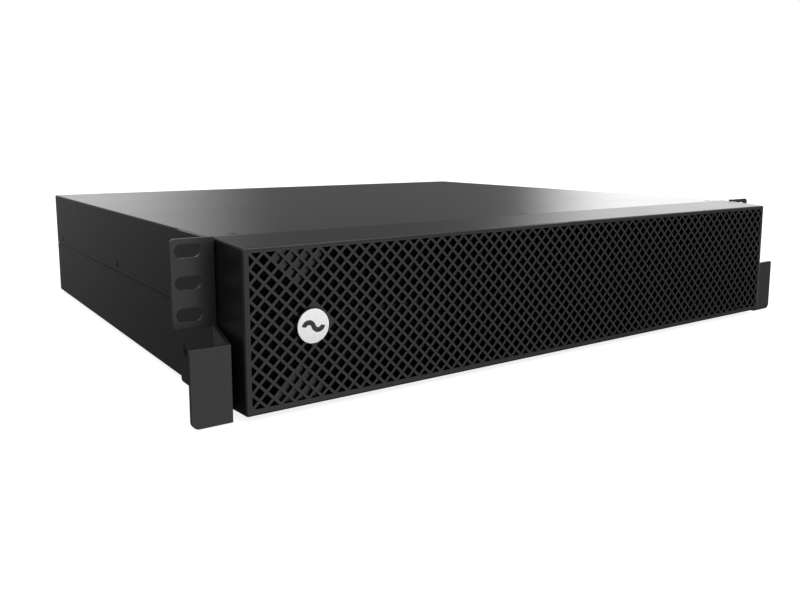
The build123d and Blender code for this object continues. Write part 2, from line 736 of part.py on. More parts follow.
def battery_links():
    """Short leads that join one block to the next, over the top."""
    links = []
    for index in range(block_count - 1):
        x = tray_middle_x + terminal_reach * (1 if index % 2 == 0 else -1)
        y0 = block_front(index) + block_height + terminal_height / 2
        start = terminal_z + terminal_half
        links.append(lead([(x, y0, start), (x, y0, lead_z), (x, y0 + block_pitch, lead_z),
                           (x, y0 + block_pitch, start)], lead_radius, lead_bend))
    return links


def plug_y():
    return tray_end_y - tray_sheet - plug_depth - 0.5


def battery_plug():
    """Connector on the back of the tray, which mates as the tray goes home."""
    y = plug_y()
    shape = block(plug_x - plug_width / 2, plug_x + plug_width / 2, y, y + plug_depth,
                  plug_low, plug_low + plug_height)
    shape = fillet(shape.edges().filter_by(Axis.Y), 1.5)
    return cut_all(shape, [rod((plug_x + side * contact_step, y + plug_depth + 1, plug_contact_z), "-Y",
                               contact_radius + fit_gap, contact_length + 2.0) for side in (-1, 1)])


def battery_leads():
    """The pair of leads from the end terminals to the plug."""
    start = terminal_z + terminal_half
    middle = plug_y() + plug_depth / 2
    top = plug_low + plug_height
    last = block_front(block_count - 1) + block_height + terminal_height / 2
    first = block_front(0) + block_height + terminal_height / 2
    near = tray_middle_x + terminal_reach
    far = tray_middle_x - terminal_reach
    right = lead([(near, last, start), (near, last, lead_z), (near, middle, lead_z), (near, middle, top)],
                 lead_radius, lead_bend)
    run = far + 22.0
    drop = plug_x - contact_step - 6.0
    left = lead([(far, first, start), (far, first, lead_z), (run, first, lead_z), (run, middle, lead_z),
                 (drop, middle, lead_z), (drop, middle, top)], lead_radius, lead_bend)
    return [right, left]


def socket_front():
    return tray_end_y + body_gap


def battery_socket():
    """Fixed half of the battery connector, standing on the chassis floor."""
    y = socket_front()
    shape = block(plug_x - plug_width / 2, plug_x + plug_width / 2, y, y + 14.0,
                  floor_top, plug_low + plug_height)
    for side in (-1, 1):
        shape += rod((plug_x + side * contact_step, y + 1.0, plug_contact_z), "-Y",
                     contact_radius, contact_length)
    return shape


def socket_leads():
    """Leads from the fixed connector to the power board."""
    leads = []
    for side in (-1, 1):
        x = plug_x + side * contact_step
        y = socket_front() + 7.0
        top = plug_low + plug_height
        level = top + 14.0 + side * 4.0
        end_x = board_left + 12.0 - side * 6.0
        end_y = seam_y + board_front + board_depth - 8.0 - side * 6.0
        leads.append(lead([(x, y, top), (x, y, level), (end_x, y, level), (end_x, end_y, level),
                           (end_x, end_y, board_top)], lead_radius, lead_bend))
    return leads


# ---- electronics --------------------------------------------------------------------------
def standoff_places():
    """Board supports, as (x, y)."""
    xs = (board_left + 6.0, board_middle_x, board_left + board_width - 6.0)
    ys = (board_front_y + 6.0, board_front_y + board_depth / 2, board_front_y + board_depth - 6.0)
    return [(x, y) for x in xs for y in ys]


def main_board():
    shape = block(board_left, board_left + board_width, board_front_y, board_front_y + board_depth,
                  board_z, board_top)
    return cut_all(shape, [rod((x, y, board_z - 1), "+Z", 1.5 + fit_gap, 5) for x, y in standoff_places()])


def board_standoffs():
    return [rod((x, y, floor_top), "+Z", 3.0, standoff_height) + rod((x, y, board_z), "+Z", 1.5, 3.5)
            for x, y in standoff_places()]


def heat_sink(x):
    """Extruded sink with upright fins, in line with a fan."""
    y0 = seam_y + sink_front
    shape = block(x - sink_width / 2, x + sink_width / 2, y0, y0 + sink_depth, board_top + 2.0, board_top + 7.0)
    fin_step = (sink_width - 2.0) / (fin_count - 1)
    for index in range(fin_count):
        left = x - sink_width / 2 + index * fin_step
        shape += block(left, left + 2.0, y0, y0 + sink_depth, board_top + 7.0, board_top + 2.0 + sink_height)
    for side in (-1, 1):
        y = y0 + sink_depth / 2 + side * (sink_depth / 2 - 8.0)
        shape += block(x - 6.0, x + 6.0, y - 4.0, y + 4.0, board_top, board_top + 2.0)
    return shape


def power_transistors():
    """Flat packages screwed along the outside of each sink."""
    parts = []
    for x in fan_x:
        for index in range(5):
            y = seam_y + sink_front + 14.0 + index * 24.0
            left = x - sink_width / 2 - 5.0
            parts.append(block(left, left + 5.0, y, y + 16.0, board_top + 10.0, board_top + 30.0)
                         + block(left + 2.0, left + 2.8, y + 2.0, y + 14.0, board_top, board_top + 10.0))
    return parts


def bus_capacitors():
    """Upright electrolytic cans with a sleeve groove."""
    cans = []
    for column in range(2):
        for row in range(3):
            x = board_left + 24.0 + column * 34.0
            y = board_front_y + 24.0 + row * 36.0
            can = rod((x, y, board_top), "+Z", 15.0, 45.0)
            can = fillet(can.edges().sort_by(Axis.Z)[-1], 1.5)
            cans.append(can - ring((x, y, board_top + 4.0), "+Z", 16.0, 14.2, 1.6))
    return cans


def choke_places():
    return [(board_middle_x + 26.0 + index * 52.0, board_front_y + 34.0) for index in range(2)]


def choke_cores():
    return [ring((x, y, board_top + 3.0), "+Z", 19.0, 10.0, 18.0) for x, y in choke_places()]


def choke_windings():
    """Blocks of winding spaced round each core, each wrapped over the core's section."""
    turns = []
    for x, y in choke_places():
        for index in range(9):
            wrap = Box(14.0, 4.5, 22.0) - Box(9.4, 8.0, 18.0 + 2 * fit_gap)
            turns.append(Pos(x, y, board_top + 12.0) * Rot(0, 0, 40.0 * index) * Pos(14.35, 0, 0) * wrap)
    return turns


transformer_x = board_middle_x - 8.0
transformer_y = board_front_y + 100.0


def transformer_core():
    """Two-legged ferrite frame round the coil."""
    outer = block(transformer_x - 26, transformer_x + 26, transformer_y - 10, transformer_y + 10,
                  board_top + 2.0, board_top + 46.0)
    windows = [block(transformer_x + side * 8.0, transformer_x + side * 18.0, transformer_y - 11,
                     transformer_y + 11, board_top + 10.0, board_top + 38.0) for side in (-1, 1)]
    return cut_all(outer, windows)


def transformer_coil():
    outer = block(transformer_x - 17.5, transformer_x + 17.5, transformer_y - 19, transformer_y + 19,
                  board_top + 10.5, board_top + 37.5)
    outer = fillet(outer.edges().filter_by(Axis.Z), 6.0)
    coil = outer - block(transformer_x - 8.2, transformer_x + 8.2, transformer_y - 10.2, transformer_y + 10.2,
                         board_top, board_top + 50.0)
    pins = [block(transformer_x + side * 14.0 - 1, transformer_x + side * 14.0 + 1, transformer_y + end * 16.0 - 1,
                  transformer_y + end * 16.0 + 1, board_top, board_top + 10.5)
            for side in (-1, 1) for end in (-1, 1)]
    for pin in pins:
        coil += pin
    return coil


def relays():
    return [fillet(block(board_left + 22.0 + index * 24.0, board_left + 40.0 + index * 24.0,
                         board_front_y + board_depth - 62.0, board_front_y + board_depth - 34.0,
                         board_top, board_top + 20.0).edges().filter_by(Axis.Z), 1.0) for index in range(3)]


def filter_capacitors():
    return [block(board_left + 20.0 + index * 30.0, board_left + 46.0 + index * 30.0, board_front_y + 206.0,
                  board_front_y + 218.0, board_top, board_top + 22.0) for index in range(2)]


control_x = board_left + 8.0
control_y = board_front_y + 128.0


def control_board():
    """Upright logic board beside the partition."""
    return block(control_x, control_x + board_thickness, control_y, control_y + 100.0,
                 board_top, board_top + 58.0)


def control_chips():
    chips = []
    for index in range(4):
        y = control_y + 10.0 + index * 22.0
        chips.append(block(control_x + board_thickness, control_x + board_thickness + 2.5, y, y + 14.0,
                           board_top + 24.0, board_top + 38.0))
    return chips


# ---- rear panel and its fittings --------------------------------------------------------------
def outlet_places():
    """Middles of the outlets, as (x, z)."""
    first = outlet_edge + outlet_width / 2 - inside_x
    columns = [first + index * (outlet_width + outlet_space) for index in range(outlet_count)]
    return [(x, floor_z + z) for x in columns for z in outlet_rows]


def fan_screw_places():
    half = fan_hole_spacing / 2
    return [(x + sx * half, fan_z + sz * half) for x in fan_x for sx in (-1, 1) for sz in (-1, 1)]


def rear_screw_places():
    """Screws along the rear panel's upper and lower edge, clear of the earth stud."""
    top = roof_z - panel_screw_edge
    low = floor_z + panel_screw_edge
    last_outlet = max(x for x, z in outlet_places())
    columns = (panel_screw_edge - inside_x, last_outlet + 9.0, fan_x[0] - fan_size / 2 - panel_screw_edge)
    return [(x, z) for x in columns for z in (low, top)] + [(inside_x - 3.3, top)]


def service_screw_places():
    """Screws at the service plate's corners."""
    columns = (service_left + service_margin, service_right - service_margin + 1.0)
    rows = (floor_z + service_low + service_margin - 1.0, floor_z + service_high - service_margin + 1.0)
    return [(x, z) for x in columns for z in rows]


def card_screw_places():
    return [(card_x + side * (card_width / 2 + 5.0), floor_z + card_row) for side in (-1, 1)]


def rear_panel():
    """Sheet that carries the fans, sockets, switch and ports."""
    reach = inside_x - lay_gap
    low = floor_top + lay_gap
    high = roof_under - lay_gap
    shape = block(-reach, reach, panel_in, rear_y, low, high)
    for z0, z1 in ((low, low + sheet), (high - sheet, high)):
        shape += block(-reach, reach, panel_in - sheet * 0.75, panel_in, z0, z1)
    y = panel_in - 2
    deep = sheet + 4
    cutters = [rod((x, y, fan_z), "+Y", fan_bore_radius, deep) for x in fan_x]
    cutters += [rod((x, y, z), "+Y", fan_screw_radius + fit_gap, deep) for x, z in fan_screw_places()]
    cutters += [rod((x, y, z), "+Y", panel_screw_radius + fit_gap, deep)
                for x, z in rear_screw_places() + card_screw_places() + service_screw_places()]
    cutters += [socket_hole(x, y, z, deep) for x, z in outlet_places()]
    cutters.append(block(card_x - card_width / 2, card_x + card_width / 2, y, y + deep,
                         floor_z + card_row - card_height / 2, floor_z + card_row + card_height / 2))
    for x, radius in ((inlet_x, breaker_button_radius), (switch_x, button_radius)):
        cutters.append(rod((x, y, floor_z + breaker_row), "+Y", bush_radius(radius) + fit_gap, deep))
    cutters.append(block(service_left + 2 * service_margin, service_right - 2 * service_margin + 1.0,
                         y, y + deep, floor_z + service_low + service_margin,
                         floor_z + service_high - service_margin))
    cutters.append(rod((ground_x, y, floor_z + ground_row), "+Y", 2.0 + fit_gap, deep))
    return cut_all(shape, cutters)


def socket_hole(x, y, z, deep):
    """The panel opening of a three-pole socket."""
    return block(x - outlet_width / 2 - fit_gap, x + outlet_width / 2 + fit_gap, y, y + deep,
                 z - outlet_height / 2 - fit_gap, z + outlet_height / 2 + fit_gap)


def service_plate():
    """Plate with the inlet and the data ports, screwed over an opening in the rear panel."""
    shape = block(service_left, service_right, rear_y, service_y, floor_z + service_low, floor_z + service_high)
    shape = fillet(shape.edges().filter_by(Axis.Y), 2.0)
    y = rear_y - 1
    deep = sheet + 2
    cutters = [rod((x, y, z), "+Y", panel_screw_radius + fit_gap, deep) for x, z in service_screw_places()]
    cutters.append(socket_hole(inlet_x, y, floor_z + inlet_row, deep))
    for x0, x1, z0, z1 in port_boxes():
        cutters.append(block(x0 - fit_gap, x1 + fit_gap, y, y + deep, z0 - fit_gap, z1 + fit_gap))
    return cut_all(shape, cutters)


def port_boxes():
    """Outlines of the data ports, as (x0, x1, z0, z1)."""
    z = floor_z + port_row
    return [(usb_x - 6.0, usb_x + 6.0, z - 5.5, z + 5.5),
            (network_x - 8.0, network_x + 8.0, z - 7.0, z + 7.0),
            (serial_x - 16.0, serial_x + 16.0, z - 6.2, z + 6.2)]


def data_ports():
    """Metal-shelled ports, each with its own cavity and tongue."""
    ports = []
    for x0, x1, z0, z1 in port_boxes():
        shell = block(x0, x1, service_y - 14.0, service_y + 1.0, z0, z1)
        shell -= block(x0 + 1.2, x1 - 1.2, service_y - 11.0, service_y + 2.0, z0 + 1.2, z1 - 1.2)
        x = (x0 + x1) / 2
        z = (z0 + z1) / 2
        if x != network_x:
            half_x = (x1 - x0) / 2 - 3.0
            half_z = (z1 - z0) / 2 - 3.0
            shell += block(x - half_x, x + half_x, service_y - 11.5, service_y - 2.0, z - half_z, z + half_z)
        ports.append(shell)
    return ports


def ports_board():
    """Small board that the ports stand on."""
    x0 = min(box[0] for box in port_boxes()) - 3.0
    x1 = max(box[1] for box in port_boxes()) + 3.0
    z = floor_z + port_row - 7.0
    return block(x0, x1, service_y - 20.2, panel_in - 1.8, z - board_thickness, z)


def keyed_prism(x, y, z, half_x, half_z, depth):
    """The shape of a connector's nose, from y backwards: a block with its two upper corners cut off."""
    chamfer_run = half_x * 0.36
    points = [(x - half_x, z - half_z), (x + half_x, z - half_z), (x + half_x, z + half_z - chamfer_run),
              (x + half_x - chamfer_run, z + half_z), (x - half_x + chamfer_run, z + half_z),
              (x - half_x, z + half_z - chamfer_run)]
    outline = Polyline(*[(px, y, pz) for px, pz in points], close=True)
    return extrude(make_face(outline), amount=depth, dir=(0, -1, 0))


def power_socket(x, y, z, is_inlet):
    """A three-pole socket with a front flange at y: an open keyed cavity, or one with a slotted tongue."""
    half_x = outlet_width / 2
    half_z = outlet_height / 2
    lip = 1.6
    body = block(x - half_x, x + half_x, y - outlet_depth, y, z - half_z, z + half_z)
    flange = block(x - half_x - lip, x + half_x + lip, y, y + 2.0, z - half_z - lip, z + half_z + lip)
    flange = fillet(flange.edges().filter_by(Axis.Y), lip * 0.75)
    cavity_x = half_x - socket_wall_width
    cavity_z = half_z - socket_wall_width
    shape = body + flange - keyed_prism(x, y + 3.0, z, cavity_x, cavity_z, 19.0)
    if is_inlet:
        return shape
    tongue = keyed_prism(x, y + 0.5, z, cavity_x - island_gap, cavity_z - island_gap, 17.5)
    slots = [block(x + dx - 0.9, x + dx + 0.9, y - 12.0, y + 2.0, z + dz - 2.6, z + dz + 2.6)
             for dx, dz in ((-half_x * 0.4, -1.0), (half_x * 0.4, -1.0), (0.0, 1.6))]
    return cut_all(shape + tongue, slots)


def inlet_pins():
    """Three blades inside the inlet."""
    z = floor_z + inlet_row
    return [block(inlet_x + dx - 1.0, inlet_x + dx + 1.0, service_y - 16.0, service_y - 2.0,
                  z + dz - 2.0, z + dz + 2.0) for dx, dz in ((-7.0, -1.0), (7.0, -1.0), (0.0, 2.0))]


def bush_radius(button):
    """Outer radius of the bush round a button."""
    return button + fit_gap + bush_wall


def push_bush(x, button, travel):
    """Threaded bush, rim and rear body of a push switch; the bore is open for its button."""
    z = floor_z + breaker_row
    outer = bush_radius(button)
    shape = rod((x, rear_y - bush_depth, z), "+Y", outer, bush_depth)
    shape += rod((x, rear_y, z), "+Y", outer + nut_margin, 2.0)
    return shape - rod((x, rear_y - travel - 6.0, z), "+Y", button + fit_gap, travel + 10.0)


def push_button(x, radius, proud):
    """A push switch's button, standing proud of the rim."""
    z = floor_z + breaker_row
    shape = rod((x, rear_y - 5.5, z), "+Y", radius, 5.5 + 2.0 + proud)
    return fillet(shape.edges().sort_by(Axis.Y)[-1], 0.6)


def fan_frame(x):
    """Square fan housing with a motor seat on four struts."""
    y0 = panel_in - fan_depth
    half = fan_size / 2
    shape = block(x - half, x + half, y0, panel_in, fan_z - half, fan_z + half)
    shape = fillet(shape.edges().filter_by(Axis.Y), 3.0)
    shape -= rod((x, y0 - 1, fan_z), "+Y", fan_bore_radius, fan_depth + 2)
    shape += rod((x, panel_in - 3.0, fan_z), "+Y", fan_hub_radius, 3.0)
    strut = Box(2 * fan_bore_radius + 1.0, 3.0, 3.0)
    for angle in (0, 90):
        shape += Pos(x, panel_in - 1.5, fan_z) * Rot(0, angle + 45, 0) * strut
    cutters = [rod((sx, y0 - 1, sz), "+Y", fan_screw_radius + fit_gap, fan_depth + 2)
               for sx, sz in fan_screw_places() if abs(sx - x) < fan_size / 2]
    cutters.append(rod((x, panel_in - 4.0, fan_z), "+Y", fan_shaft_radius + fit_gap, 3.0))
    return cut_all(shape, cutters)


def fan_rotor(x):
    """Hub, shaft and seven pitched blades."""
    y0 = panel_in - fan_depth + 1.5
    depth = fan_depth - 1.5 - 3.0 - body_gap
    tip = fan_bore_radius - fan_tip_gap
    hub = rod((x, y0, fan_z), "+Y", fan_hub_radius, depth)
    hub = fillet(hub.edges().sort_by(Axis.Y)[0], 1.5)
    blades = []
    for index in range(7):
        middle = (fan_hub_radius + fan_bore_radius) / 2
        blade = Pos(middle, 0, 0) * Rot(38, 0, 0) * Box(fan_bore_radius - fan_hub_radius + 3.5, 1.4, 22.0)
        blades.append(Pos(x, y0 + depth / 2, fan_z) * Rot(0, index * 360 / 7, 0) * blade)
    space = ring((x, y0 + 0.5, fan_z), "+Y", tip, fan_hub_radius - 0.5, depth - 1.0)
    for blade in blades:
        hub += blade & space
    return hub + rod((x, y0 + depth, fan_z), "+Y", fan_shaft_radius, 2.0)


def fan_guard(x):
    """Wire guard of rings and two crossing wires, screwed on at its four loops."""
    y = rear_y + 1.0
    wire = 1.0
    shape = None
    for radius in (fan_bore_radius - 18.5, fan_bore_radius - 9.5, fan_bore_radius - 0.5):
        hoop = Pos(x, y, fan_z) * Rot(90, 0, 0) * Torus(radius, wire)
        shape = hoop if shape is None else shape + hoop
    reach = fan_hole_spacing / 2 * math.sqrt(2) - 3.0
    for angle in (45, 135):
        bar = Pos(x, y, fan_z) * Rot(0, angle, 0) * Rot(0, 90, 0) * Cylinder(wire, 2 * reach)
        shape += bar
    for sx, sz in fan_screw_places():
        if abs(sx - x) < fan_size / 2:
            shape += ring((sx, rear_y, sz), "+Y", fan_screw_radius + 2.2, fan_screw_radius + fit_gap, 2.2)
    return shape


def card_cover():
    """Plate over the empty card slot."""
    z = floor_z + card_row
    shape = block(card_x - card_width / 2 - 9.0, card_x + card_width / 2 + 9.0, rear_y, rear_y + sheet,
                  z - card_height / 2 - 3.0, z + card_height / 2 + 3.0)
    shape = fillet(shape.edges().filter_by(Axis.Y), 2.0)
    return cut_all(shape, [rod((x, rear_y - 1, sz), "+Y", panel_screw_radius + fit_gap, 4)
                           for x, sz in card_screw_places()])


def ground_stud():
    """Stud with a nut and washer for the rack's earth lead."""
    z = floor_z + ground_row
    stud = rod((ground_x, panel_in - 4.0, z), "+Y", 2.0, sheet + 4.0 + rear_reach)
    nut_plane = Plane(origin=(ground_x, rear_y + 1.0, z), x_dir=(1, 0, 0), z_dir=(0, 1, 0))
    nut = extrude(nut_plane * RegularPolygon(4.0, 6), amount=3.2)
    return [stud + nut + rod((ground_x, rear_y, z), "+Y", 4.6, 1.0)]


def rubber_feet():
    """Round pads under the floor."""
    places = [(side * (half_width - foot_inset), y) for side in (-1, 1)
              for y in (seam_y + foot_inset, rear_y - foot_inset)]
    feet = []
    for x, y in places:
        foot = rod((x, y, 0), "+Z", foot_radius, foot_height)
        feet.append(fillet(foot.edges().sort_by(Axis.Z)[0], foot_height / 3))
    return feet


def cover_screws():
    """Countersunk screws along both sides and the front edge of the cover."""
    places = [((side * half_width, y, side_screw_z), side_direction(side)) for side, y in side_screw_places()]
    places += [((x, seam_y + cover_top_screw_back, roof_z), "+Z") for x in cover_top_screw_x]
    return [countersunk(point, direction, cover_screw_radius, cover_head_radius, cover_screw_length)
            for point, direction in places]


def rear_panel_screws():
    """Panhead screws of the panel, the service plate and the card slot cover."""
    panel = [(x, rear_y, z) for x, z in rear_screw_places()]
    plates = [(x, service_y, z) for x, z in service_screw_places() + card_screw_places()]
    return [panhead(point, "+Y", panel_screw_radius, 2 * panel_screw_radius, 1.8, 5.0)
            for point in panel + plates]


# ---- every node --------------------------------------------------------------------------------
def build():
    """Write all the nodes."""
    os.makedirs("parts", exist_ok=True)
    save("base_tray", base_tray())
    save("top_cover", top_cover())
    save("front_panel", front_panel())
    save("rear_panel", rear_panel())
    save("service_plate", service_plate())
    save("bezel_frame", bezel_frame())
    save("bezel_grille", bezel_grille())
    save("grille_blind_cells", blind_plugs())
    save("badge", badge())
    save("badge_clip", badge_clip())
    save("bezel_studs", bezel_studs())
    save("left_rack_bracket", rack_bracket(-1))
    save("right_rack_bracket", rack_bracket(1))
    save("bracket_screws", bracket_screws())
    save("cover_screws", cover_screws())
    save("bay_partition", bay_partition())
    save("tray_runners", tray_runners())
    save("battery_tray", battery_tray())
    for name, (x, z) in zip(("left_thumbscrew", "right_thumbscrew"), thumb_places()):
        save(name, thumbscrew(x, z))
    save("tray_handle", tray_handle())
    save("battery_blocks", battery_blocks())
    save("battery_terminals", battery_terminals())
    save("battery_links", battery_links())
    save("battery_leads", battery_leads())
    save("battery_plug", battery_plug())
    save("battery_socket", battery_socket())
    save("socket_leads", socket_leads())
    save("main_board", main_board())
    save("board_standoffs", board_standoffs())
    save("charger_heat_sink", heat_sink(fan_x[0]))
    save("inverter_heat_sink", heat_sink(fan_x[1]))
    save("power_transistors", power_transistors())
    save("bus_capacitors", bus_capacitors())
    save("choke_cores", choke_cores())
    save("choke_windings", choke_windings())
    save("transformer_core", transformer_core())
    save("transformer_coil", transformer_coil())
    save("relays", relays())
    save("filter_capacitors", filter_capacitors())
    save("control_board", control_board())
    save("control_chips", control_chips())
    save("fan_frames", [fan_frame(x) for x in fan_x])
    for name, x in zip(("left_fan_rotor", "right_fan_rotor"), fan_x):
        save(name, fan_rotor(x))
    save("fan_guards", [fan_guard(x) for x in fan_x])
    save("fan_screws", [panhead((x, rear_y + 2.2, z), "+Y", fan_screw_radius, 3.8, 2.4, fan_depth * 0.6)
                        for x, z in fan_screw_places()])
    save("mains_inlet", power_socket(inlet_x, service_y, floor_z + inlet_row, True))
    save("inlet_pins", inlet_pins())
    save("outlet_sockets", [power_socket(x, rear_y, z, False) for x, z in outlet_places()])
    save("breaker_body", push_bush(inlet_x, breaker_button_radius, breaker_travel))
    save("breaker_button", push_button(inlet_x, breaker_button_radius, breaker_proud))
    save("switch_body", push_bush(switch_x, button_radius, button_travel))
    save("power_button", push_button(switch_x, button_radius, button_proud))
    save("data_ports", data_ports())
    save("ports_board", ports_board())
    save("card_slot_cover", card_cover())
    save("rear_panel_screws", rear_panel_screws())
    save("ground_stud", ground_stud())
    save("rubber_feet", rubber_feet())


build()
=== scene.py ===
import json
import math

import bpy
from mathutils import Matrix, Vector


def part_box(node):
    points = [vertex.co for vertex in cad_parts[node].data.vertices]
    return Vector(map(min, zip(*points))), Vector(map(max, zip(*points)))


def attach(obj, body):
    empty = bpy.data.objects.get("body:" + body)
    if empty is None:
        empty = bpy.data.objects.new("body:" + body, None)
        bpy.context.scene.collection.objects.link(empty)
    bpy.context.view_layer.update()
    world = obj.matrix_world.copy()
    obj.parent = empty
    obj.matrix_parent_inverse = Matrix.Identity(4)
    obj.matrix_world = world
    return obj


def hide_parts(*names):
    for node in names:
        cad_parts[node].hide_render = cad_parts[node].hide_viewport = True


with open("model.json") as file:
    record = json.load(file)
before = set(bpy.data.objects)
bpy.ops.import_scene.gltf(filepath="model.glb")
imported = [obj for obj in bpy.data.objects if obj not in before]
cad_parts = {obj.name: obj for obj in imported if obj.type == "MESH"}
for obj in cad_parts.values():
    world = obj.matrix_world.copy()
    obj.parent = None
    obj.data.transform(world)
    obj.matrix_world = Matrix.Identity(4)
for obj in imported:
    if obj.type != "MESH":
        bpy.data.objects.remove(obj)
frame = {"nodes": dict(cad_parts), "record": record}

MM = 0.001
WHITE = (1.0, 1.0, 1.0)

# sizes of surface detail, in metres
MOULD_GRIT = 0.6 * MM
COAT_PEEL = 0.9 * MM
PLASTIC_DRIFT = 50 * MM
WAVE_SCALE = math.pi / 10.0       # texture scale that sets bands one metre apart
ZINC_CRYSTALS = 160.0             # crystals to the metre

# finishes that more than one material starts from
BEZEL_BLACK = (0.0042, 0.0043, 0.0045)
BEZEL_ROUGHNESS = 0.36
ZINC_GREY = (0.55, 0.57, 0.58)
ZINC_SHADES = (0.42, 0.44, 0.46), (0.7, 0.71, 0.72)
BRIGHT_STEEL = (0.7, 0.71, 0.72)
MATT_FROM = 0.6                   # coats rougher than this also reflect less
MATT_SPECULAR = 0.25
TRAY_PLATE_DEPTH = 1.7 * MM       # how far back the tray's black front plate reaches

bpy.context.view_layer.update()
nodes = frame["nodes"]
scene = bpy.context.scene
scene.view_settings.view_transform = "Standard"


# ---- shader building ---------------------------------------------------------------------
class Socket:
    """One output of a node tree, with arithmetic that adds Math nodes."""

    def __init__(self, tree, link):
        self.tree = tree
        self.link = link

    def math(self, operation, *values):
        node = self.tree.nodes.new("ShaderNodeMath")
        node.operation = operation
        for place, value in enumerate((self,) + values):
            feed(self.tree, node.inputs[place], value)
        return Socket(self.tree, node.outputs[0])

    def __add__(self, other):
        return self.math("ADD", other)

    def __radd__(self, other):
        return self.math("ADD", other)

    def __sub__(self, other):
        return self.math("SUBTRACT", other)

    def __rsub__(self, other):
        return (self * -1.0).math("ADD", other)

    def __mul__(self, other):
        return self.math("MULTIPLY", other)

    def __rmul__(self, other):
        return self.math("MULTIPLY", other)

    def __gt__(self, other):
        return self.math("GREATER_THAN", other)

    def smooth(self, low, high):
        """0 below low, 1 above high, and a soft step between."""
        node = self.tree.nodes.new("ShaderNodeMapRange")
        node.interpolation_type = "SMOOTHSTEP"
        feed(self.tree, node.inputs["Value"], self)
        node.inputs["From Min"].default_value = low
        node.inputs["From Max"].default_value = high
        return Socket(self.tree, node.outputs["Result"])


def feed(tree, target, value):
    """Link a socket, or set a constant."""
    if isinstance(value, Socket):
        tree.links.new(value.link, target)
    elif isinstance(value, (tuple, list)) and len(value) == 3 and target.type == "RGBA":
        target.default_value = (*value, 1.0)
    else:
        target.default_value = value


class Finish:
    """A material with one Principled shader and helpers for what varies over its surface."""

    def __init__(self, name, colour, roughness, metallic=0.0, **fixed):
        self.material = bpy.data.materials.new(name)
        self.material.use_nodes = True
        self.tree = self.material.node_tree
        self.shader = self.tree.nodes["Principled BSDF"]
        feed(self.tree, self.shader.inputs["Base Color"], colour)
        self.shader.inputs["Roughness"].default_value = roughness
        self.shader.inputs["Metallic"].default_value = metallic
        for key, value in fixed.items():
            self.shader.inputs[key.replace("_", " ")].default_value = value

    def node(self, kind, settings=None, **inputs):
        """Any other node: its settings first, then its sockets by name."""
        made = self.tree.nodes.new(kind)
        for key, value in (settings or {}).items():
            setattr(made, key, value)
        for key, value in inputs.items():
            feed(self.tree, made.inputs[key.replace("_", " ")], value)
        return made

    def coordinates(self, scale=(1.0, 1.0, 1.0), turn=(0.0, 0.0, 0.0), centre=(0.0, 0.0, 0.0)):
        """Object coordinates, centred, turned and scaled."""
        source = self.node("ShaderNodeTexCoord").outputs["Object"]
        mapping = self.node("ShaderNodeMapping", Location=tuple(-c * s for c, s in zip(centre, scale)),
                            Rotation=turn, Scale=scale)
        self.tree.links.new(source, mapping.inputs["Vector"])
        return Socket(self.tree, mapping.outputs["Vector"])

    def noise(self, size, detail=2.0, roughness=0.5, place=None, distortion=0.0):
        """Noise whose features are about size metres, from 0 to 1."""
        made = self.node("ShaderNodeTexNoise", Vector=place or self.coordinates(), Scale=1.0 / size,
                         Detail=detail, Roughness=roughness, Distortion=distortion)
        return Socket(self.tree, made.outputs["Fac"])

    def cells(self, size, place=None):
        """Distance to the nearest of points about size metres apart."""
        made = self.node("ShaderNodeTexVoronoi", Vector=place or self.coordinates(), Scale=1.0 / size)
        return Socket(self.tree, made.outputs["Distance"])

    def mix(self, share, first, second):
        """A colour between two, by a share."""
        made = self.node("ShaderNodeMix", {"data_type": "RGBA"})
        feed(self.tree, made.inputs["Factor"], share)
        feed(self.tree, made.inputs[6], first)
        feed(self.tree, made.inputs[7], second)
        return Socket(self.tree, made.outputs[2])

    def wave(self, size, direction, place, distortion=0.0):
        """Bands size metres apart, from 0 to 1."""
        made = self.node("ShaderNodeTexWave", {"bands_direction": direction}, Vector=place,
                         Scale=WAVE_SCALE / size, Distortion=distortion)
        return Socket(self.tree, made.outputs["Fac"])

    def set(self, name, value):
        feed(self.tree, self.shader.inputs[name], value)
        return self


def scaled(colour, factor):
    """The same colour, lighter or darker."""
    return tuple(min(1.0, c * factor) for c in colour)


def soft_edges(finish, radius):
    """Normals that round every sharp edge a little, as paint or a mould does."""
    return finish.node("ShaderNodeBevel", {"samples": 4}, Radius=radius).outputs["Normal"]


def relief(finish, height, distance, edge=0.0):
    """Small relief in the surface, over softened edges where edge is a radius."""
    made = finish.node("ShaderNodeBump", Height=height, Distance=distance)
    if edge:
        finish.tree.links.new(soft_edges(finish, edge), made.inputs["Normal"])
    finish.tree.links.new(made.outputs["Normal"], finish.shader.inputs["Normal"])


def coated_steel(name, colour, grain, roughness, depth, edge):
    """Powder coat: fine orange peel, a slow drift in shade and a little handling dust."""
    finish = Finish(name, colour, roughness)
    if roughness > MATT_FROM:
        finish.set("Specular IOR Level", MATT_SPECULAR)
    peel = finish.noise(grain, 3.0, 0.55)
    drift = finish.noise(0.09, 2.0, 0.5)
    dust = finish.noise(0.035, 5.0, 0.7).smooth(0.62, 0.8)
    coat = finish.mix(drift * 0.6 + peel * 0.4, scaled(colour, 0.75), scaled(colour, 1.25))
    finish.set("Base Color", finish.mix(dust * 0.06, coat, (0.12, 0.12, 0.125)))
    finish.set("Roughness", roughness - 0.05 + drift * 0.05 + peel * 0.04 + dust * 0.06)
    relief(finish, peel, depth, edge)
    return finish.material


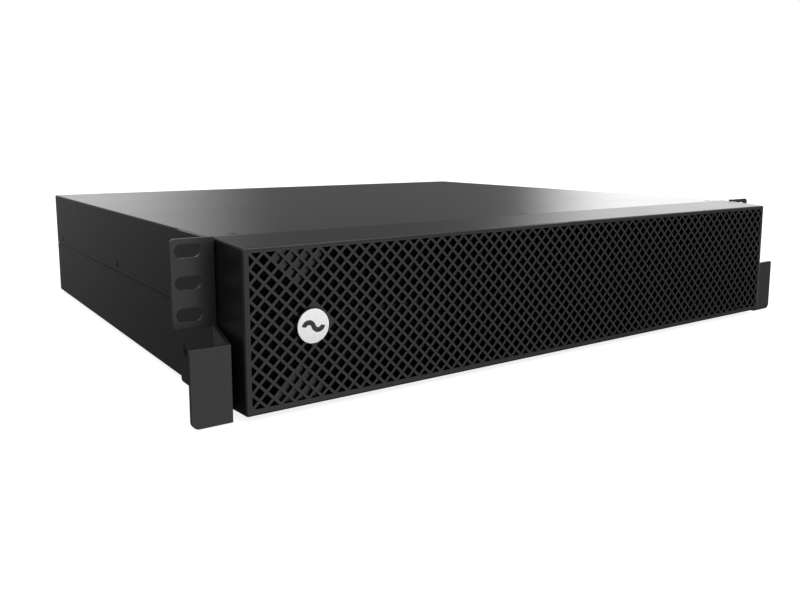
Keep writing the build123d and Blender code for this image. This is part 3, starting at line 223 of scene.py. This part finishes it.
def moulded_plastic(name, colour, roughness, grain=MOULD_GRIT, depth=0.02 * MM, edge=0.0):
    """Spark-eroded plastic with a slow change of gloss."""
    finish = Finish(name, colour, roughness)
    grit = finish.noise(grain, 2.0, 0.6)
    drift = finish.noise(PLASTIC_DRIFT, 2.0, 0.5)
    finish.set("Base Color", finish.mix(grit * 0.5 + drift * 0.5, scaled(colour, 0.8), scaled(colour, 1.2)))
    finish.set("Roughness", roughness - 0.05 + grit * 0.06 + drift * 0.05)
    relief(finish, grit, depth, edge)
    return finish.material


def plain_metal(name, colour, roughness, grain=0.8 * MM, stretch=(1.0, 0.08, 1.0)):
    """Plated or rolled metal with fine streaks and cloudy patches."""
    finish = Finish(name, colour, roughness, 1.0)
    streak = finish.noise(grain, 2.0, 0.6, finish.coordinates(stretch))
    cloud = finish.noise(0.02, 3.0, 0.6)
    finish.set("Base Color", finish.mix(cloud, scaled(colour, 0.8), scaled(colour, 1.1)))
    finish.set("Roughness", roughness - 0.05 + streak * 0.1 + cloud * 0.06)
    relief(finish, streak, 0.01 * MM)
    return finish.material


def lattice_plastic(name, colour, roughness):
    """The bezel's plastic with a satin face and dull cell walls, whose darkness is painted shade: a darker,
    metallic copy of the colour chosen by the normal.
    """
    finish = Finish(name, colour, roughness)
    grit = finish.noise(MOULD_GRIT, 2.0, 0.6)
    drift = finish.noise(PLASTIC_DRIFT, 2.0, 0.5)
    normal = finish.node("ShaderNodeTexCoord").outputs["Normal"]
    split = finish.node("ShaderNodeSeparateXYZ")
    finish.tree.links.new(normal, split.inputs[0])
    # face is 1 where the normal points to -Y and 0 on the cell walls, which get painted shade
    face = (Socket(finish.tree, split.outputs["Y"]) * -1.0).smooth(0.75, 0.95)
    plain = finish.mix(grit * 0.5 + drift * 0.5, scaled(colour, 0.8), scaled(colour, 1.2))
    # painted shade: the cell walls take the colour at 0.4 of its strength
    finish.set("Base Color", finish.mix(face, scaled(colour, 0.4), plain))
    # painted shade: metallic walls of that dark colour show almost no reflection
    finish.set("Metallic", 1.0 - face)
    finish.set("Roughness", 0.62 - face * (0.67 - roughness) + grit * 0.06 + drift * 0.05)
    relief(finish, grit, 0.02 * MM)
    return finish.material


def spangled_zinc(name):
    """Hot-dip zinc: flat crystals a few millimetres across, each its own shade."""
    finish = Finish(name, ZINC_GREY, 0.38, 1.0)
    crystal = finish.node("ShaderNodeTexVoronoi", Vector=finish.coordinates(), Scale=ZINC_CRYSTALS)
    shade = Socket(finish.tree, crystal.outputs["Color"]) * 0.6
    grain = finish.noise(0.7 * MM, 3.0, 0.6)
    finish.set("Base Color", finish.mix(shade + grain * 0.3, *ZINC_SHADES))
    finish.set("Roughness", 0.3 + shade * 0.14 + grain * 0.06)
    relief(finish, shade + grain * 0.4, 0.02 * MM)
    return finish.material


def painted_tray(name, paint_back):
    """Zinc sheet whose front plate, forward of a depth, is painted matt black."""
    finish = Finish(name, ZINC_GREY, 0.38)
    place = finish.coordinates()
    split = finish.node("ShaderNodeSeparateXYZ", Vector=place)
    bare = Socket(finish.tree, split.outputs["Y"]).smooth(paint_back - 0.1 * MM, paint_back + 0.1 * MM)
    crystal = finish.node("ShaderNodeTexVoronoi", Vector=place, Scale=ZINC_CRYSTALS)
    shade = Socket(finish.tree, crystal.outputs["Color"]) * 0.6
    grain = finish.noise(0.7 * MM, 3.0, 0.6)
    zinc = finish.mix(shade + grain * 0.3, *ZINC_SHADES)
    paint = finish.mix(grain, (0.0045, 0.0045, 0.0048), (0.0075, 0.0075, 0.008))
    finish.set("Base Color", finish.mix(bare, paint, zinc))
    finish.set("Metallic", bare)
    finish.set("Roughness", 0.75 - bare * 0.4 + bare * shade * 0.14)
    finish.set("Specular IOR Level", 0.3)
    relief(finish, grain * 0.6 + bare * shade * 0.4, 0.02 * MM)
    return finish.material


def laminate(name):
    """Circuit board: green mask over a woven core, with copper runs showing through."""
    finish = Finish(name, (0.02, 0.16, 0.07), 0.3)
    place = finish.coordinates()
    weave = finish.wave(1.2 * MM, "X", place) * 0.5 + finish.wave(1.2 * MM, "Y", place) * 0.5
    runs_across = finish.wave(5.2 * MM, "X", place, 3.0) > 0.72
    runs_along = finish.wave(4.7 * MM, "Y", place, 3.0) > 0.8
    runs = runs_across.math("MAXIMUM", runs_along)
    mask = finish.mix(weave * 0.3, (0.012, 0.11, 0.05), (0.02, 0.15, 0.07))
    finish.set("Base Color", finish.mix(runs * 0.6, mask, (0.05, 0.26, 0.11)))
    finish.set("Roughness", 0.28 + weave * 0.08)
    relief(finish, runs * 0.7 + weave * 0.2, 0.04 * MM)
    return finish.material


def copper_with_painted_turn_light(name):
    """Enamelled copper, each turn's colour running from dark to bright copper as painted shade and painted
    highlight, with a random cloudy tone.
    """
    finish = Finish(name, (0.62, 0.26, 0.1), 0.3, 1.0)
    place = finish.coordinates()
    turn = finish.wave(1.6 * MM, "Z", place)
    cloud = finish.noise(4 * MM, 2.0, 0.5)
    # painted highlight and painted shade: the colour brightens and darkens with each turn of wire; the cloud
    # is random tone
    finish.set("Base Color", finish.mix(turn * 0.6 + cloud * 0.4, (0.32, 0.1, 0.03), (0.8, 0.38, 0.16)))
    finish.set("Roughness", 0.24 + cloud * 0.12)
    relief(finish, turn, 0.15 * MM)
    return finish.material


def battery_shell(name):
    """Battery case: fine leather grain with scuffed patches."""
    finish = Finish(name, (0.045, 0.046, 0.05), 0.5)
    grain = finish.cells(1.4 * MM)
    scuff = finish.noise(0.012, 5.0, 0.75).smooth(0.58, 0.75)
    worn = scuff * 0.25 + grain * 0.2
    finish.set("Base Color", finish.mix(worn, (0.035, 0.036, 0.04), (0.13, 0.13, 0.135)))
    finish.set("Roughness", 0.42 + grain * 0.12 + scuff * 0.08)
    relief(finish, grain, 0.06 * MM)
    return finish.material


def wrapped_tape(name, colour):
    """Film tape in overlapping bands."""
    finish = Finish(name, colour, 0.3)
    bands = finish.wave(9 * MM, "Z", finish.coordinates())
    dirt = finish.noise(0.006, 3.0, 0.6)
    finish.set("Base Color", finish.mix(bands * 0.5 + dirt * 0.3, scaled(colour, 0.7), scaled(colour, 1.15)))
    finish.set("Roughness", 0.25 + dirt * 0.15)
    relief(finish, bands, 0.08 * MM)
    return finish.material


def build_materials():
    """One finish for each material slot of the record, and a few that slots share."""
    coats = (
        # name, colour, roughness, depth of the peel, edge radius
        ("powder_coat", (0.0075, 0.0078, 0.0083), 0.3, 0.03 * MM, 0.5 * MM),
        ("inner_coat", (0.006, 0.006, 0.0063), 0.75, 0.04 * MM, 0.0),
        ("bracket_coat", (0.0105, 0.0107, 0.0112), 0.36, 0.03 * MM, 0.4 * MM),
    )
    plastics = (
        # name, colour, roughness, grain, depth
        ("badge_face", (0.86, 0.86, 0.86), 0.32, 2 * MM, 0.005 * MM),
        ("badge_rim", (0.006, 0.006, 0.0065), 0.3, 1 * MM, 0.01 * MM),
        ("rubber", (0.02, 0.02, 0.02), 0.75, 0.9 * MM, 0.06 * MM),
        ("film_yellow", (0.72, 0.52, 0.07), 0.3, 3 * MM, 0.03 * MM),
        ("red_lead", (0.5, 0.02, 0.015), 0.35, 2 * MM, 0.03 * MM),
        ("ferrite", (0.06, 0.058, 0.056), 0.65, 0.5 * MM, 0.06 * MM),
    )
    metals = (
        # name, colour, roughness
        ("black_screw", (0.045, 0.045, 0.048), 0.4),
        ("steel_screw", BRIGHT_STEEL, 0.25),
        ("terminal_tin", (0.72, 0.7, 0.62), 0.3),
        ("port_metal", BRIGHT_STEEL, 0.25),
    )
    made = {}
    for name, colour, roughness, depth, edge in coats:
        made[name] = coated_steel(name, colour, COAT_PEEL, roughness, depth, edge)
    for name, colour, roughness, grain, depth in plastics:
        made[name] = moulded_plastic(name, colour, roughness, grain, depth)
    for name, colour, roughness in metals:
        made[name] = plain_metal(name, colour, roughness)
    made["bezel_plastic"] = moulded_plastic("bezel_plastic", BEZEL_BLACK, BEZEL_ROUGHNESS, edge=0.3 * MM)
    # the lattice's cell walls carry painted shade
    made["lattice_plastic"] = lattice_plastic("lattice_plastic", BEZEL_BLACK, BEZEL_ROUGHNESS)
    made["zinc_steel"] = spangled_zinc("zinc_steel")
    made["painted_tray"] = painted_tray("painted_tray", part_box("battery_tray")[0][1] + TRAY_PLATE_DEPTH)
    made["aluminium"] = plain_metal("aluminium", (0.75, 0.76, 0.77), 0.35, 0.5 * MM, (1.0, 0.03, 1.0))
    made["battery_case"] = battery_shell("battery_case")
    made["copper_wire"] = copper_with_painted_turn_light("copper_wire")
    made["circuit_board"] = laminate("circuit_board")
    made["coil_tape"] = wrapped_tape("coil_tape", (0.7, 0.5, 0.08))
    for slot in frame["record"]["materials"]:
        if slot["slot"] not in made:
            made[slot["slot"]] = moulded_plastic(slot["slot"], tuple(slot["base_color"][:3]), 0.42)
    return made


def assign(piece, material):
    """Give a piece one material all over."""
    piece.data.materials.clear()
    piece.data.materials.append(material)


# nodes whose finish isn't their slot's own
OTHER_FINISH = {
    "bezel_grille": "lattice_plastic",
    "grille_blind_cells": "lattice_plastic",
    "front_panel": "inner_coat",
    "battery_tray": "painted_tray",
    "tray_handle": "black_screw",
    "left_thumbscrew": "black_screw",
    "right_thumbscrew": "black_screw",
}

materials = build_materials()
for entry in frame["record"]["subparts"]:
    node = entry["node"]
    assign(nodes[node], materials[OTHER_FINISH.get(node, entry["material_slot"])])


# ---- studio ---------------------------------------------------------------------------------
CAMERA_PLACE = (-0.36007, -0.54539, 0.13491)
CAMERA_DOWN = 7.944               # degrees below level
CAMERA_HEADING = 34.511           # degrees from +Y towards +X


def build_camera():
    """35 mm camera low at the front left corner, looking slightly down."""
    data = bpy.data.cameras.new("camera")
    data.lens = 35.0
    data.sensor_width = 36.0
    data.shift_x = 0.002
    data.shift_y = -0.062
    data.clip_start = 0.01
    data.clip_end = 100.0
    camera = bpy.data.objects.new("camera", data)
    camera.location = CAMERA_PLACE
    camera.rotation_euler = (math.radians(90.0 - CAMERA_DOWN), 0.0, math.radians(-CAMERA_HEADING))
    scene.collection.objects.link(camera)
    scene.camera = camera


def camera_only(piece):
    """A piece that lights nothing and shows in no reflection."""
    piece.visible_diffuse = False
    piece.visible_glossy = False
    piece.visible_transmission = False
    piece.visible_shadow = False


FLOOR_WIDTH = 60.0
DOME_RADIUS = 28.0
FLOOR_GLOW = 0.85


def build_stage():
    """A white floor that takes a faint shadow, and a white dome behind it."""
    bpy.ops.object.select_all(action="DESELECT")
    bpy.ops.mesh.primitive_plane_add(size=FLOOR_WIDTH, location=(0.0, 0.0, 0.0))
    floor = bpy.context.object
    floor.name = "studio_floor"
    paint = Finish("floor_paint", (0.35, 0.35, 0.35), 0.95)
    drift = paint.noise(0.6, 2.0, 0.5)
    paint.set("Base Color", paint.mix(drift, (0.34, 0.34, 0.34), (0.36, 0.36, 0.36)))
    paint.set("Specular IOR Level", 0.0)
    paint.set("Emission Color", WHITE)
    paint.set("Emission Strength", FLOOR_GLOW)
    assign(floor, paint.material)
    camera_only(floor)
    bpy.ops.object.select_all(action="DESELECT")
    bpy.ops.mesh.primitive_uv_sphere_add(segments=48, ring_count=24, radius=DOME_RADIUS)
    dome = bpy.context.object
    dome.name = "studio_dome"
    glow = Finish("dome_glow", (0.0, 0.0, 0.0), 1.0)
    glow.set("Specular IOR Level", 0.0)
    glow.set("Emission Color", WHITE)
    glow.set("Emission Strength", 1.0)
    assign(dome, glow.material)
    camera_only(dome)


# ---- light ----------------------------------------------------------------------------------
# azimuths are degrees from +Y towards +X, elevations degrees above the floor
SOFT_PANELS = (
    # azimuth of the middle, half width, softness, elevation from, to, softness, brightness
    (8.5, 10.0, 7.5, -12.0, 22.0, 14.0, 1.4),
    (73.0, 26.5, 4.0, -12.0, 26.0, 14.0, 2.7),
    (158.0, 18.0, 20.0, -40.0, 40.0, 25.0, 1.2),
    (-106.0, 44.0, 30.0, -20.0, 45.0, 30.0, 0.25),
)
# elevation where it starts, where it is full, brightness
OVERHEAD = (35.0, 75.0, 0.9)
FRONT_OVERHEAD = (18.0, 40.0, 2.4)
SKY_FILL = (-14.0, 3.0, 0.11)
ALL_ROUND_FILL = 0.07
FRONT_FADE = (0.05, 0.6)          # share of the direction that points to -Y, start and full


def window(value, low, high, softness):
    """1 between two limits, falling softly to 0 outside them."""
    above = value.smooth(low - softness, low + softness)
    return above * (1.0 - value.smooth(high - softness, high + softness))


def rising(elevation, layer):
    """Light that grows with elevation: where it starts, where it is full, brightness."""
    start, full, brightness = layer
    return elevation.smooth(start, full) * brightness


def build_light():
    """Soft panels round the object and one overhead, as brightness by direction."""
    world = bpy.data.worlds.new("studio_world")
    world.use_nodes = True
    scene.world = world
    tree = world.node_tree
    place = tree.nodes.new("ShaderNodeTexCoord").outputs["Generated"]
    split = tree.nodes.new("ShaderNodeSeparateXYZ")
    tree.links.new(place, split.inputs[0])
    x, y, z = (Socket(tree, output) for output in split.outputs)
    azimuth = x.math("ARCTAN2", y) * math.degrees(1.0)
    elevation = z.math("ARCSINE") * math.degrees(1.0)
    in_front = (y * -1.0).smooth(*FRONT_FADE)
    total = rising(elevation, OVERHEAD) + rising(elevation, SKY_FILL) + ALL_ROUND_FILL
    total = total + in_front * rising(elevation, FRONT_OVERHEAD)
    for middle, half, side, low, high, end, brightness in SOFT_PANELS:
        away = (azimuth - middle).math("WRAP", 180.0, -180.0).math("ABSOLUTE")
        across = 1.0 - away.smooth(half - side, half + side)
        total = total + across * window(elevation, low, high, end) * brightness
    background = tree.nodes["Background"]
    background.inputs["Color"].default_value = (*WHITE, 1.0)
    feed(tree, background.inputs["Strength"], total)


# ---- badge ----------------------------------------------------------------------------------
BADGE_SHIFT = Vector((-0.4 * MM, 0.0, -0.6 * MM))     # from the solid's middle to the badge's
BADGE_GROWTH = 0.4 * MM                               # on the solid's radius
BADGE_DEPTH = 2.2 * MM
RIM_SETBACK = 0.35 * MM
RIM_WIDTH = 0.25 * MM
INLAY_SETBACK = 0.1 * MM
INLAY_BACK = 0.9 * MM
MARK_BACK = 0.5 * MM
STEM_RADIUS = 3.0 * MM
STEM_OVERLAP = 0.1 * MM
SAME_PLACE = MM / 1000
SMOOTH_UNDER = math.radians(35.0)


def finished(piece, name, body, finish):
    """Name a new piece, give it its finish and let it ride on a body."""
    piece.name = name
    piece.data.name = name
    assign(piece, finish)
    bpy.ops.object.select_all(action="DESELECT")
    piece.select_set(True)
    bpy.context.view_layer.objects.active = piece
    bpy.ops.object.transform_apply(location=True, rotation=True, scale=True)
    bpy.ops.object.shade_smooth_by_angle(angle=SMOOTH_UNDER)
    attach(piece, body)
    return piece


def edit_edges(piece, chosen):
    """Enter edit mode with only the chosen edges selected."""
    bpy.ops.object.mode_set(mode="EDIT")
    bpy.ops.mesh.select_mode(type="EDGE")
    bpy.ops.mesh.select_all(action="DESELECT")
    bpy.ops.object.mode_set(mode="OBJECT")
    points = piece.data.vertices
    for edge in piece.data.edges:
        edge.select = chosen(*(points[index].co for index in edge.vertices))
    bpy.ops.object.mode_set(mode="EDIT")


def leave_edit():
    """Merge doubles, turn the normals outward and go back to object mode."""
    bpy.ops.mesh.select_all(action="SELECT")
    bpy.ops.mesh.remove_doubles(threshold=SAME_PLACE)
    bpy.ops.mesh.normals_make_consistent(inside=False)
    bpy.ops.object.mode_set(mode="OBJECT")


def at_depth(depth, one, two):
    """Whether an edge's two ends both lie at a depth along Y."""
    return max(abs(one.y - depth), abs(two.y - depth)) < SAME_PLACE


def front_disc(centre, radius, front, back, segments, edge):
    """A disc facing -Y between two depths, with a rounded front edge."""
    bpy.ops.object.select_all(action="DESELECT")
    bpy.ops.mesh.primitive_cylinder_add(vertices=segments, radius=radius, depth=back - front,
                                        location=(centre.x, (front + back) / 2, centre.z),
                                        rotation=(math.radians(90.0), 0.0, 0.0))
    disc = bpy.context.object
    bpy.ops.object.transform_apply(location=True, rotation=True, scale=True)
    edit_edges(disc, lambda one, two: at_depth(front, one, two))
    bpy.ops.mesh.bevel(offset=edge, segments=4, profile=0.5, affect="EDGES")
    leave_edit()
    return disc


def wave_mark(centre, half_width, half_turn, thickness, front, back):
    """A strip spun through one arc over and one arc under, standing on the badge's face."""
    bend = half_width / 2 / math.sin(half_turn)
    drop = bend * math.cos(half_turn)
    start = math.pi / 2 + half_turn
    middle = (front + back) / 2
    over = Vector((centre.x - half_width / 2, middle, centre.z - drop))
    under = Vector((centre.x + half_width / 2, middle, centre.z + drop))
    left_end = over + bend * Vector((math.cos(start), 0.0, math.sin(start)))
    bpy.ops.object.select_all(action="DESELECT")
    bpy.ops.mesh.primitive_plane_add(size=1.0, rotation=(0.0, -start, 0.0), location=left_end)
    mark = bpy.context.object
    mark.scale = (thickness, back - front, 1.0)
    bpy.ops.object.transform_apply(location=True, rotation=True, scale=True)
    bpy.ops.object.mode_set(mode="EDIT")
    bpy.ops.mesh.select_all(action="SELECT")
    # spin turns by the left-hand rule about its axis
    bpy.ops.mesh.spin(steps=18, angle=-2 * half_turn, center=over, axis=(0.0, 1.0, 0.0))
    bpy.ops.mesh.spin(steps=18, angle=2 * half_turn, center=under, axis=(0.0, 1.0, 0.0))
    leave_edit()
    tip = half_width - 0.1 * MM

    def outline(one, two):
        """The front face's outline, without the cross lines between its steps."""
        on_end = abs((one.x + two.x) / 2 - centre.x) > tip
        return at_depth(front, one, two) and ((one - two).length < thickness / 2 or on_end)

    edit_edges(mark, outline)
    bpy.ops.mesh.bevel(offset=0.12 * MM, segments=3, profile=0.5, affect="EDGES")
    leave_edit()
    return mark


def build_badge():
    """Dark rim, raised white inlay and a plain wave mark in place of the moulded badge."""
    low, high = (Vector(corner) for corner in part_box("badge"))
    solid_centre = (low + high) / 2
    centre = solid_centre + BADGE_SHIFT
    radius = (high.x - low.x) / 2 + BADGE_GROWTH
    front = low.y
    back = front + BADGE_DEPTH
    dark, white = materials["badge_rim"], materials["badge_face"]
    body = front_disc(centre, radius, front + RIM_SETBACK, back, 96, 0.35 * MM)
    inlay = front_disc(centre, radius - RIM_WIDTH, front + INLAY_SETBACK, front + INLAY_BACK, 96, 0.12 * MM)
    mark = wave_mark(centre, radius * 0.6, math.radians(75.0), radius * 0.28, front, front + MARK_BACK)
    stem = front_disc(solid_centre, STEM_RADIUS, back - STEM_OVERLAP, high.y, 32, 0.05 * MM)
    rim = finished(body, "badge_body", "badge", dark)
    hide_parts("badge")
    finished(inlay, "badge_inlay", "badge", white)
    finished(mark, "badge_mark", "badge", dark)
    finished(stem, "badge_stem", "badge", dark)


build_camera()
build_stage()
build_light()
build_badge()
